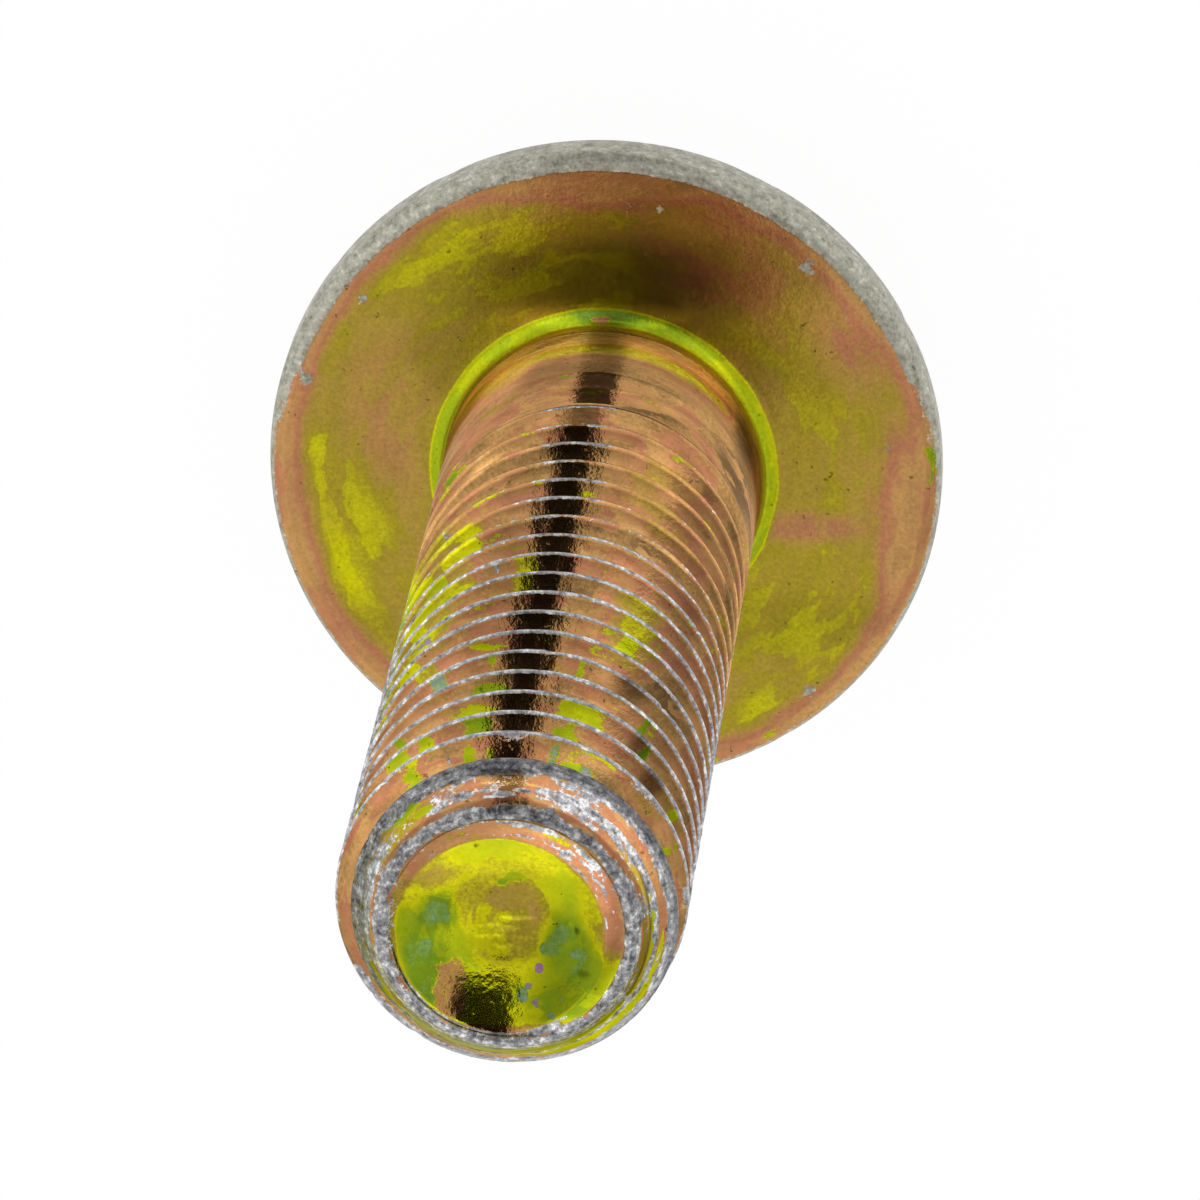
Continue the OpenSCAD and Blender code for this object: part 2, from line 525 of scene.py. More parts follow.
@dataclass
class Thread:
    """The rolled thread: a helix with rounded roots, worn crests and a run-out into the shank."""

    pitch: float = 1.5
    crest_r: float = 4.93
    shank_r: float = 4.95
    crest_turn: float = math.radians(107)
    crest_w: float = 0.1
    last_crest_w: float = 0.15
    groove_end: float = 17.6
    edge_round: float = 0.035
    root_round: float = 0.33
    flank_angle: float = 30.0
    start: float = 13.7
    end: float = 44.2
    turns_below: int = 20
    phases: tuple[float, ...] = (-0.12, -0.07, -0.025, 0.025, 0.07, 0.12, 0.33, 0.53, 0.67, 0.83, 0.97, 1.17)
    run_out: tuple[tuple[float, float, float], ...] = ((0.05, 13.8, 15.6), (0.95, 15.3, 18.8))
    last_phases: int = 7
    low_rows: int = 5
    wedge_rows: int = 18
    level_depth: float = 1.2
    stop_depth: float = 0.3
    lean: float = 0.3
    cut_depth: float = 1.569
    ring_w: float = 0.37
    first_middle: float = -0.62
    last_middle: float = 1.85
    bevel_round: float = 0.035
    film: float = 0.19
    root_film: float = 0.14
    nick_depth: float = 0.045
    glint: float = 0.62
    polish: tuple[tuple[float, float, float], ...] = ((0.36, 14.6, 16.4), (0.64, 23.0, 33.0))
    wander: float = 0.018
    wander_size: float = 1.3
    shake: float = 0.012
    ragged: float = 0.2
    rough_size: float = 0.45
    underside_painted_shade: float = 0.45
    outline_tone: float = 0.38
    crest_painted_highlight: float = 0.4
    worn_tone: float = 0.1
    # The last blush is the film under a painted cream highlight along a crest.
    blushes: tuple[Stain, ...] = marks(
        (-46, 27.5, 17, 5.5, 0.53), (-88, 20, 14, 2.6, 0.62), (-79, 24.6, 19, 3.4, 0.7),
        (-97, 28.8, 22, 2.6, 0.58), (-76, 31.4, 17, 3.6, 0.68), (36, 31.5, 11, 3, 0.46),
        (34, 14.5, 16, 2.5, 0.18), (66, 18, 14, 6, 0.08), (-42, 37.6, 22, 1, 0.27),
        (-36, 18.85, 10, 0.6, 0.14),
    )
    # Painted light and shade on the thread: dark painted reflections in blotches on the right, a painted
    # cream highlight at -36 degrees, and darker or lighter patches.
    painted_light_and_tone: tuple[Stain, ...] = marks(
        (42, 39, 24, 5, 0.86), (59, 33, 5, 9, 0.8), (39, 35.9, 5.5, 0.35, 0.4), (47, 38.9, 4, 0.4, 0.4),
        (55, 40.4, 4.5, 0.4, 0.4), (-20, 30, 12, 8, 0.84), (-36, 18.85, 9, 0.55, 2.6),
        (-14, 13.2, 12, 1.3, 0.6),
    )
    stains: tuple[Stain, ...] = marks(
        (-35, 24.9, 6, 1.1, 0.56), (-46, 27, 5, 1.1, 0.67), (-31, 26.2, 3.5, 0.8, 0.58),
        (-50, 29.5, 5, 1.2, 0.62), (-7, 29, 4.5, 1.6, 0.54), (-50, 33.4, 5, 0.6, 0.57),
        (-39, 34.9, 5, 0.5, 0.5), (37, 30.8, 8, 0.9, 0.52), (35, 33.3, 4.5, 0.6, 0.62),
        (52, 33.6, 2.5, 0.5, 0.64), (-31.5, 36.4, 3, 0.5, 0.89), (-10, 38, 8, 0.45, 0.74),
        (-14, 39.5, 12, 0.35, 0.62), (-11, 36, 1.6, 0.2, 0.68), (20, 36.1, 1.2, 0.25, 0.7),
        (24, 39.1, 10, 0.3, 0.63), (50, 39.2, 2, 0.5, 0.8), (47.5, 37.5, 1.6, 0.35, 0.76),
        (36.5, 37.8, 1.8, 0.25, 0.5), (-44, 39.5, 2.2, 0.45, 0.73), (-42, 41.1, 7, 0.5, 0.7),
        (-31, 41.1, 4.5, 0.5, 0.68), (-36, 43.2, 6.5, 0.9, 0.71), (-11, 40.8, 6, 0.3, 0.78),
        (-13, 42.4, 2.2, 0.3, 0.69), (-5.7, 42.5, 1.4, 0.35, 0.69), (20, 40.8, 5.5, 0.35, 0.68),
        (26, 42.8, 12, 0.8, 0.69), (17, 42.7, 2, 0.7, 0.9), (30, 42.5, 3.5, 0.5, 0.92),
        (69, 40.6, 2.5, 0.45, 0.68), (73, 42.4, 3.5, 0.65, 0.7), (-48, 23, 2.5, 0.4, BARE),
        (15, 29.8, 1.5, 0.15, BARE), (-18, 28.6, 1.5, 0.15, BARE), (-23, 42.5, 0.9, 0.14, BARE),
        (-20.5, 42.3, 0.7, 0.1, BARE),
    )

    def crest_depth(self) -> np.ndarray:
        """Gives the depth of the crest that ends nearest under the end face, at each turn."""
        return self.pitch * (1 - (TURNS - self.crest_turn) / (2 * math.pi) % 1)

    def crest_width(self, depth: np.ndarray) -> np.ndarray:
        """Gives the width of the crest's flat, which is more on the last turn."""
        return mix(self.crest_w, self.last_crest_w, smooth_step(3.9, 2.9, depth))

    def depth_share(self, height: np.ndarray) -> np.ndarray:
        """Gives the share of the full thread depth at each height."""
        return climb(self.run_out, height)

    def profile(self, offset: np.ndarray, width: np.ndarray) -> np.ndarray:
        """Gives the radius of a thread without end at a distance from its crest.

        Args:
            offset: Distance along the axis from the crest's middle.
            width: Width of the crest's flat.

        Returns:
            The radius, with rounded crest edges and roots.
        """
        angle = math.radians(self.flank_angle)
        slope = 1 / math.tan(angle)
        to_root = self.pitch / 2 - np.abs(offset)
        apex = self.crest_r - (self.pitch / 2 - width / 2) * slope
        flank = apex + slope * to_root
        arc = apex + 2 * self.root_round - np.sqrt(np.maximum(self.root_round**2 - to_root**2, 0))
        shape = np.where(to_root < self.root_round * math.cos(angle), arc, flank)
        return smooth_min(shape, np.full(shape.shape, self.crest_r), self.edge_round)

    def surface(self, height: np.ndarray, zone: Zone, point: "Point", grain: Grain) -> Rows:
        """Lays rows over the thread, with what the point cuts off it.

        Nearer the end than cut_depth, the cut turn's back flank leans back, as rolling leaves it.

        Args:
            height: Heights of the points, one row of them for each row of the surface.
            zone: Zone of the rows.
            point: The bevelled point.
            grain: Noise for the nicks in the crests.

        Returns:
            The rows.
        """
        height = np.array(np.broadcast_to(height, (len(height), COLUMNS)))
        flat = np.stack(np.broadcast_arrays(5 * np.cos(TURNS), 5 * np.sin(TURNS), height), axis=-1)
        slope = 1 / math.tan(math.radians(self.flank_angle))
        rise = math.tan(math.radians(point.bevel_angle))
        depth = self.end - height
        crest = self.crest_depth()
        wander = self.wander * grain.at(flat, self.wander_size)
        wander += self.shake * grain.rough(flat, self.rough_size)
        offset = (crest - depth + wander + self.pitch / 2) % self.pitch - self.pitch / 2
        width = self.crest_width(depth)
        shape = self.profile(offset, width)
        cone = point.envelope(depth)
        rubbed = np.zeros(height.shape)
        ragged = self.ragged * grain.rough(flat + 3.1, self.rough_size)
        for middle in (crest - self.pitch, crest, crest + self.pitch):
            behind = self.lean * np.maximum(self.cut_depth - middle, 0)
            away = np.abs(depth + wander - middle - behind / 2) - (behind + width) / 2
            leaning = np.maximum(shape, self.crest_r - slope * np.maximum(away, 0))
            shape = np.where(middle < self.cut_depth, leaning, shape)
            edge = (self.crest_r - point.end_r + slope * (width / 2 + middle + behind)) / (slope + rise)
            reach = mix(0.1, self.ring_w, smooth_step(0.1, 0.55, middle))
            band = smooth_step(-reach - 0.16, -reach + 0.06, depth - edge + ragged)
            band *= smooth_step(0.07, 0.01, depth - edge)
            rubbed = np.maximum(rubbed, band * (middle < self.last_middle) * (middle > self.first_middle))
        rubbed *= cone < shape + 0.05
        share = self.depth_share(height)
        shape = mix(self.shank_r, shape, share)
        beside = np.abs(offset) - width / 2
        crest_line = smooth_step(0.06, 0.01, beside) * (cone > shape)
        # Painted highlight: crests on the camera's side are made bare and bright in broken lengths where
        # glints show.
        glint = self.glint * smooth_step(15.2, 16.6, height) * turn_step(2, 30, 6)
        glint += 0.6 * glint * grain.rough(flat + 1.7, 0.9)
        on_crest = crest_line * np.maximum(climb(self.polish, height), glint)
        nicks = smooth_step(0.25, 0.8, grain.rough(flat, 0.4)) * np.maximum(on_crest, rubbed)
        made = smooth_min(shape, cone, self.bevel_round) - self.nick_depth * nicks
        crushed = np.maximum(rubbed, on_crest)
        # Painted shade: the flanks that face the head are darker, and their film thinner.
        under = share * smooth_step(0.06, 0.16, -offset)
        groove = smooth_step(self.groove_end, self.groove_end - 2.2, height)
        worn = crushed * (1.0 - 0.35 * nicks)
        outline = smooth_step(0.03, 0.07, beside) * smooth_step(0.15, 0.09, beside) * (cone > shape)
        # Lightness: painted shade under the crests, a darker line just beside each crest, and a painted
        # highlight along the crest lines, less where they are bare.
        tone = 1 - self.underside_painted_shade * under - self.outline_tone * share * outline
        tone += share * (self.crest_painted_highlight * crest_line - self.worn_tone * on_crest)
        film = self.film - self.root_film * under
        return Rows(made, height, zone, film=film, worn=worn, crumple=crushed, groove=groove, tone=tone)

    def heights(self) -> np.ndarray:
        """Lays out rows that follow the helix between two level rings.

        Returns:
            The height of every point.
        """
        first = self.end - self.crest_depth()[0]
        turns = range(self.turns_below, 2, -1)
        helix = [first - self.pitch * turn + phase for turn in turns for phase in self.phases]
        helix += [first - self.pitch * 2 + phase for phase in self.phases[: self.last_phases]]
        strip = column(helix) + self.pitch * np.arange(COLUMNS) / COLUMNS
        low = np.full((1, COLUMNS), self.start)
        high = np.full((1, COLUMNS), self.end - self.level_depth)
        low_shares = column(np.arange(1, self.low_rows + 1) / (self.low_rows + 1))
        high_shares = column(np.arange(1, self.wedge_rows + 1) / (self.wedge_rows + 1))
        below = mix(low, strip[:1], low_shares)
        above = mix(strip[-1:], high, high_shares)
        return np.concatenate([low, below, strip, above, high])

    def rows(self, point: "Point", grain: Grain) -> list[Rows]:
        """Lays the rows of the thread.

        Args:
            point: The bevelled point that cuts the last turns off.
            grain: Noise for the nicks.

        Returns:
            The rows from the shank to the level ring, and those from there to the end's rounding.
        """
        strip = self.surface(self.heights(), Zone.THREAD, point, grain)
        strip.blush(*self.blushes).spot(*self.stains).shade(*self.painted_light_and_tone)
        levels = self.end - np.linspace(self.level_depth, self.stop_depth, 31)[1:]
        bevel = self.surface(column(levels), Zone.POINT, point, grain)
        return [strip, point.dress_bevel(bevel, grain)]


@dataclass
class Point:
    """The bevelled point, the crushed ring round the end face and the dish in it."""

    end: float = 44.2
    end_r: float = 3.6
    bevel_angle: float = 36.3
    lean: float = 0.035
    lean_turn: float = math.radians(125)
    ring_x: float = -0.02
    ring_y: float = 0.10
    ring_r: float = 3.28
    ring: tuple[tuple[float, float], ...] = (
        (3.76, 0.215), (3.70, 0.135), (3.64, 0.075), (3.57, 0.03), (3.50, 0.005),
        (3.43, 0.0), (3.37, 0.015), (3.32, 0.06),
    )
    ring_worn: tuple[float, ...] = (0.56, 0.76, 0.88, 0.92, 0.88, 0.78, 0.66, 0.52)
    ring_kept: tuple[float, ...] = (0.3, 0.25, 0.1, 0.0, 0.0, 0.05, 0.12, 0.15)
    mouth_x: float = 0.173
    mouth_y: float = 0.356
    mouth_r: float = 2.98
    mouth_depth: float = 0.2
    floor_x: float = 0.15
    floor_y: float = -0.08
    floor_r: float = 1.43
    dish_depth: float = 0.42
    step_h: float = 0.1
    floor_bow: float = 0.035
    bevel_worn: float = 0.33
    bevel_wear: tuple[float, float, float] = (0.13, 0.3, 0.08)
    bevel_dents: float = 0.03
    ring_dents: float = 0.05
    land_dents: float = 0.03
    dish_dents: float = 0.02
    bevel_blushes: tuple[Stain, ...] = marks(
        (125, 3.9, 60, 0.16, 0.46), (-90, 4.3, 40, 0.3, 0.44), (-56, 4.05, 24, 0.3, 0.48),
        (180, 4.3, 76, 0.46, 0.63),
    )
    # Painted light and shade on the bevel: a dark painted reflection at its top, a bright painted highlight
    # line below it, thin dark lines, and lighter or darker sides.
    bevel_painted_light_and_tone: tuple[Stain, ...] = marks(
        (45, 4.05, 40, 0.4, 1.55), (-50, 4.05, 40, 0.4, 1.2), (0, 4.27, 9, 0.09, 0.25),
        (4, 4.08, 12, 0.03, 1.7), (92, 4, 30, 0.035, 0.45), (180, 4, 60, 0.05, 0.6),
        (102, 4.1, 26, 0.5, 0.85), (-105, 4.1, 26, 0.5, 0.82),
    )
    # Painted light and shade on the land: lighter at the upper right, darker in two other patches.
    land_painted_light_and_tone: tuple[Stain, ...] = marks(
        (45, 2.8, 42, 0.35, 1.7), (-40, 3, 30, 0.3, 0.8), (100, 3, 30, 0.3, 0.75),
    )
    bevel_stains: tuple[Stain, ...] = marks(
        (-43, 4.17, 9, 0.12, 0.72), (-34, 3.95, 5, 0.08, 0.66), (-88, 4.12, 9, 0.13, 0.7),
        (-118, 4.1, 9, 0.14, 0.64), (-140, 4.22, 8, 0.16, 0.7), (85, 4.08, 26, 0.05, 0.7),
        (112, 4.34, 16, 0.08, 0.62), (138, 4.42, 18, 0.17, 0.6), (150, 4.05, 14, 0.09, 0.63),
        (180, 4.2, 36, 0.2, 0.61), (-158, 4.16, 14, 0.12, 0.68), (-146, 4.4, 18, 0.12, 0.66),
        (165, 4.45, 14, 0.1, 0.63), (10, 4.07, 16, 0.05, 0.3), (-80, 3.96, 36, 0.2, BARE),
        (-65, 4.25, 12, 0.12, BARE), (-110, 4.35, 16, 0.12, BARE), (-28, 3.84, 6, 0.06, BARE),
        (-16, 3.92, 6, 0.1, BARE), (1, 3.86, 6, 0.06, BARE), (9, 3.95, 5, 0.05, BARE),
        (25, 4.25, 5, 0.08, BARE), (34, 4.3, 6, 0.12, BARE), (38, 3.82, 7, 0.08, BARE),
        (53, 3.95, 6, 0.08, BARE), (62, 4.06, 7, 0.09, BARE), (75, 4.04, 7, 0.05, BARE),
        (150, 4.6, 50, 0.1, BARE),
    )
    land_stains: tuple[Stain, ...] = marks(
        (8, 2.72, 14, 0.04, BARE), (30, 2.78, 10, 0.05, BARE), (38, 2.72, 5, 0.16, BARE),
        (50, 2.62, 9, 0.07, BARE), (52, 2.9, 12, 0.05, BARE), (66, 2.95, 10, 0.06, BARE),
        (72, 2.66, 9, 0.05, BARE), (84, 2.78, 6, 0.06, BARE), (14, 3.1, 20, 0.09, BARE),
        (48, 3.12, 14, 0.1, BARE), (30, 3.02, 8, 0.1, 0.56),
    )
    dish_blushes: tuple[Stain, ...] = marks(
        (0.2, -2, 2.4, 1, 0.59), (2.3, -1.7, 0.8, 1.1, 0.46), (-1.9, 1.6, 1.2, 1.9, 0.7),
        (1.9, 0.8, 1.1, 1.6, 0.74), (0.15, -0.1, 1.5, 1.5, 0.53), (-2.5, -0.6, 0.5, 1.2, 0.5),
        (1.95, -0.2, 0.5, 0.5, 0.81), (2.4, 1, 0.5, 0.6, 0.8), (2.2, 1.8, 0.55, 0.7, 0.76),
        (-1.6, 0.8, 0.6, 0.8, 0.78),
    )
    # Painted light and shade over the dish, with small dark specks and thin lighter strips across its floor.
    dish_painted_light_and_specks: tuple[Stain, ...] = marks(
        (0.2, -2.1, 2.2, 0.9, 1.4), (-1.9, 1.6, 1.3, 2, 0.72), (1.9, 1.2, 1.2, 1.9, 1.2),
        (0.15, 0.9, 1.3, 0.5, 0.8), (-1.2, 2.4, 1, 0.9, 0.75), (0.15, -0.1, 1.4, 1.4, 0.8),
        (1.65, 2.15, 0.7, 1.1, 0.82), (0.75, -2.33, 0.06, 0.07, 0.2), (2.42, -1.73, 0.12, 0.06, 0.3),
        (2.9, -0.8, 0.1, 0.06, 0.3), (-1.95, 0.3, 0.06, 0.1, 0.3), (-2.1, 1.55, 0.2, 0.1, 0.5),
        (-0.25, 0, 0.45, 0.07, 1.7), (0.5, 0.22, 0.3, 0.05, 1.5), (0, 0.32, 0.3, 0.06, 1.6),
        (0.45, 0.55, 0.4, 0.05, 1.7), (-0.35, 0.6, 0.25, 0.05, 1.5), (0.1, 0.85, 0.3, 0.05, 1.6),
    )
    dish_stains: tuple[Stain, ...] = marks(
        (1.85, -0.05, 0.25, 0.16, 0.87), (2.3, 0.75, 0.22, 0.2, 0.85), (1.65, 2.15, 0.48, 0.95, 0.33),
        (-1.2, 0.9, 0.28, 0.2, 0.86), (-2, 1, 0.25, 0.2, 0.85), (-1.6, 2.5, 0.8, 0.6, 0.71),
        (-0.85, 1.48, 0.12, 0.14, 1), (-0.55, 2, 0.11, 0.1, 0.97), (-0.72, 2.46, 0.14, 0.1, 1),
        (-0.38, 2.25, 0.16, 0.22, 0.9), (-1.2, 2.8, 0.12, 0.09, 0.96), (-0.15, -0.62, 0.75, 0.36, 0.4),
        (-0.75, -0.2, 0.17, 0.42, 0.39), (-0.25, -1.25, 0.34, 0.14, 0.72), (0.1, -1.1, 0.16, 0.1, 0.8),
        (-1.5, 2.36, 0.09, 0.06, BARE), (-2.95, 0.7, 0.25, 0.9, 0.16),
    )

    def envelope(self, depth: np.ndarray) -> np.ndarray:
        """Gives the radius of the bevel at a depth, a little more on the side to which it leans."""
        rise = math.tan(math.radians(self.bevel_angle))
        return self.end_r + depth * (rise + self.lean * np.cos(TURNS - self.lean_turn))

    def dress_bevel(self, bevel: Rows, grain: Grain) -> Rows:
        """Gives the bevel its stains, its crushed side and its dents.

        Args:
            bevel: The rows over the bevel.
            grain: Noise for the dents.

        Returns:
            The same rows.
        """
        bevel.blush(*self.bevel_blushes).spot(*self.bevel_stains)
        left, bottom, top = self.bevel_wear
        edge = smooth_step(4.0, 3.88, bevel.radius)
        base = self.bevel_worn + left * turn_step(-95, 55, 20) + bottom * turn_step(0, 100, 150) * edge
        base = base + top * turn_step(0, 75, 45)
        bevel.worn = np.maximum(bevel.worn, base + 0.28 * grain.rough(bevel.places() + 5.3, 0.7))
        bevel.shade(*self.bevel_painted_light_and_tone)
        bevel.crumple = np.maximum(bevel.crumple, bevel.worn)
        dents = self.bevel_dents * smooth_step(0.0, 0.7, grain.rough(bevel.places(), 0.5))
        bevel.radius -= dents * (0.3 + bevel.crumple)
        return bevel

    def rows(self, grain: Grain) -> list[Rows]:
        """Lays rows over the end's rounding, the crushed ring, the land inside it and the dish.

        Args:
            grain: Noise for the crushed metal.

        Returns:
            The rows of the ring and land, then those of the dish.
        """
        radius = column([r for r, _ in self.ring])
        top, left = turn_step(0, 95, 40), turn_step(-100, 60, 25)
        bottom, right = turn_step(15, 115, 145), turn_step(126, 34, 14)
        shift = column(np.linspace(0.3, 1, len(radius)))
        ring_rows = Rows(
            radius,
            self.end - column([d for _, d in self.ring]),
            Zone.POINT,
            worn=column(self.ring_worn) - column(self.ring_kept) * top,
            crumple=1.0,
            # Painted shade: the ring is darker on the camera's side.
            tone=1 - 0.35 * top,
            shift_x=self.ring_x * shift,
            shift_y=self.ring_y * shift,
        )
        ring_rows.height -= self.ring_dents * smooth_step(-0.1, 0.8, grain.rough(ring_rows.places(), 0.45))
        ring_rows.worn += 0.45 * grain.rough(ring_rows.places() + 2.7, 0.45)
        land = column(np.linspace(0, 1, 9))
        land_rows = Rows(
            mix(self.ring_r, self.mouth_r, land),
            self.end - self.step_h - (self.mouth_depth - self.step_h) * land,
            Zone.POINT,
            film=0.2 + 0.24 * left + 0.52 * right,
            worn=column([0.46, 0.38] + [0.33] * 7) + 0.3 * bottom + 0.07 * left - 0.12 * right,
            crumple=0.5,
            shift_x=mix(self.ring_x, self.mouth_x, land),
            shift_y=mix(self.ring_y, self.mouth_y, land),
        )
        land_rows.height -= self.land_dents * smooth_step(0.0, 0.8, grain.rough(land_rows.places(), 0.5))
        land_rows.worn += 0.22 * grain.rough(land_rows.places() + 2.7, 0.5)
        wall = np.linspace(0, 1, 21)[1:]
        round_it = np.stack([3 * np.cos(TURNS), 3 * np.sin(TURNS), 0 * TURNS], axis=-1)
        radii = self.mouth_r - 0.03 + (self.floor_r - self.mouth_r) * wall
        share = (self.mouth_r**2 - radii**2) / (self.mouth_r**2 - self.floor_r**2)
        inward = column(wall) + 0.08 * grain.rough(round_it, 0.6) + 0.05 * left
        wall_rows = Rows(
            column(radii),
            column(self.end - self.mouth_depth - self.dish_depth * share),
            Zone.DISH,
            film=0.2 + 0.4 * smooth_step(0.0, 0.12, inward),
            crumple=0.25,
            shift_x=column(mix(self.mouth_x, self.floor_x, wall)),
            shift_y=column(mix(self.mouth_y, self.floor_y, wall)),
        )
        floor = np.linspace(0.96, 0.08, 13)
        bow = self.floor_bow * smooth_step(1.0, 0.85, floor)
        floor_rows = Rows(
            column(self.floor_r * floor),
            self.end - self.mouth_depth - self.dish_depth - column(bow),
            Zone.DISH,
            film=0.48,
            crumple=column(0.35 + 0.65 * smooth_step(0.95, 0.6, floor)),
            shift_x=self.floor_x,
            shift_y=self.floor_y,
        )
        land_rows.spot(*self.land_stains).shade(*self.land_painted_light_and_tone)
        for rows in (wall_rows, floor_rows):
            rows.height += self.dish_dents * rows.crumple * grain.rough(rows.places(), 0.5, 4)
            rows.blush(*self.dish_blushes).spot(*self.dish_stains).shade(*self.dish_painted_light_and_specks)
        return [ring_rows, land_rows, wall_rows, floor_rows]


def add_object(name: str, data: bpy.types.ID) -> bpy.types.Object:
    """Adds an object to the scene.

    Args:
        name: The object's name.
        data: Its mesh, lamp or camera.

    Returns:
        The object.
    """
    made = bpy.data.objects.new(name, data)
    bpy.context.scene.collection.objects.link(made)
    return made


class Skin:
    """One closed mesh, welded from rows of points from the head's top to the middle of the dish."""

    SHRINK = 0.62
    SMALLEST = 15

    def __init__(self) -> None:
        """Starts with no points."""
        self.places: list[np.ndarray] = []
        self.fields: list[np.ndarray] = []
        self.faces: list[tuple[int, ...]] = []
        self.zones: list[int] = []
        self.count = 0

    def add_points(self, places: np.ndarray, fields: np.ndarray) -> np.ndarray:
        """Adds points and gives their numbers.

        Args:
            places: Points, with x, y and z along the last axis.
            fields: Their values for the finishes, one kind after another.

        Returns:
            The points' numbers, in the same layout.
        """
        numbers = self.count + np.arange(fields[0].size).reshape(fields.shape[1:])
        self.places.append(places.reshape(-1, 3))
        self.fields.append(fields.reshape(len(fields), -1))
        self.count += numbers.size
        return numbers

    def add_faces(self, faces: "list[tuple[int, ...]] | np.ndarray", zone: Zone) -> None:
        """Adds faces of one zone."""
        self.faces.extend(tuple(int(number) for number in face) for face in faces)
        self.zones.extend([zone.value] * len(faces))

    def bridge(self, low: np.ndarray, high: np.ndarray, zone: Zone) -> None:
        """Joins two rings of as many points with four-sided faces."""
        self.add_faces(np.stack([low, np.roll(low, -1), np.roll(high, -1), high], axis=-1), zone)

    def sheet(self, numbers: np.ndarray, zone: Zone) -> None:
        """Joins rows of points that go once round, each ring closed on itself."""
        for low, high in zip(numbers[:-1], numbers[1:]):
            self.bridge(low, high, zone)

    def close(self, ring: np.ndarray, places: np.ndarray, fields: np.ndarray, zone: Zone, up: bool) -> None:
        """Closes a ring over its middle, with fewer points the nearer it is.

        Args:
            ring: Numbers of the ring's points.
            places: The ring's points.
            fields: Their values for the finishes.
            zone: Zone of the faces.
            up: Whether the closed face looks towards the screw's end.
        """
        centre = places.mean(axis=0)
        while len(ring) > self.SMALLEST:
            places, fields = mix(centre, places[::2], self.SHRINK), fields[:, ::2]
            inner = self.add_points(places, fields)
            faces = []
            for k in range(len(inner)):
                a, b, c = ring[2 * k], ring[2 * k + 1], ring[(2 * k + 2) % len(ring)]
                i, j = inner[k], inner[(k + 1) % len(inner)]
                faces += [(a, b, i), (b, j, i), (b, c, j)]
            self.add_faces(faces if up else [face[::-1] for face in faces], zone)
            ring = inner
        middle = self.add_points(centre[None], fields.mean(axis=1, keepdims=True))[0]
        faces = [(ring[k], ring[(k + 1) % len(ring)], middle) for k in range(len(ring))]
        self.add_faces(faces if up else [face[::-1] for face in faces], zone)

    def spiral(self, numbers: np.ndarray, heights: np.ndarray, thread: Thread) -> None:
        """Joins rows that climb a helix between two level rings.

        Each row of the helix meets the row one turn higher at the seam. There the two sides have
        different numbers of points, and triangles join them.

        Args:
            numbers: The points' numbers, one row to each row of points.
            heights: The points' heights.
            thread: The thread, which says how many rows each part has.
        """
        low_rows, high_rows, per_turn = thread.low_rows + 1, thread.wedge_rows + 1, len(thread.phases)
        top = len(numbers) - high_rows - 1
        left, right = numbers[:, :-1], numbers[:, 1:]
        quads = np.stack([left[:-1], right[:-1], right[1:], left[1:]], axis=-1)
        self.add_faces(quads.reshape(-1, 4), Zone.THREAD)
        last, first = numbers[:, -1], numbers[:, 0]
        ahead = first[per_turn:]
        helix = range(low_rows, top - per_turn)
        self.add_faces([(last[k], ahead[k], ahead[k + 1], last[k + 1]) for k in helix], Zone.THREAD)
        low = (slice(0, low_rows + 1), slice(0, low_rows + per_turn + 1))
        high = (slice(top - per_turn, None), slice(top, None))
        for lefts, rights in (low, high):
            self.zip_up(last[lefts], heights[lefts, -1], first[rights], heights[rights, 0])

    def zip_up(self, left: np.ndarray, left_z: np.ndarray, right: np.ndarray, right_z: np.ndarray) -> None:
        """Joins two upright chains of points with triangles.

        Args:
            left: Numbers of the left chain, from the lowest.
            left_z: Heights of the left chain.
            right: Numbers of the right chain, from the lowest.
            right_z: Heights of the right chain.
        """
        i = j = 0
        faces = []
        while i < len(left) - 1 or j < len(right) - 1:
            on_left = j == len(right) - 1 or (i < len(left) - 1 and left_z[i + 1] <= right_z[j + 1])
            if on_left:
                faces.append((left[i], right[j], left[i + 1]))
                i += 1
            else:
                faces.append((left[i], right[j], right[j + 1]))
                j += 1
        self.add_faces(faces, Zone.THREAD)

    def mesh(self, name: str, materials: list[bpy.types.Material]) -> bpy.types.Object:
        """Makes the Blender object.

        Args:
            name: The object's name.
            materials: One material for each zone, in the zones' order.

        Returns:
            The object, in metres, with the rows' fields as attributes.
        """
        mesh = bpy.data.meshes.new(name)
        mesh.from_pydata((np.concatenate(self.places) * MM).tolist(), [], self.faces)
        mesh.validate()
        for material in materials:
            mesh.materials.append(material)
        mesh.polygons.foreach_set("material_index", self.zones)
        mesh.polygons.foreach_set("use_smooth", [True] * len(mesh.polygons))
        for title, values in zip(Rows.FIELDS, np.concatenate(self.fields, axis=1)):
            layer = mesh.attributes.new(title, "FLOAT", "POINT")
            layer.data.foreach_set("value", values)
        mesh.update()
        return add_object(name, mesh)


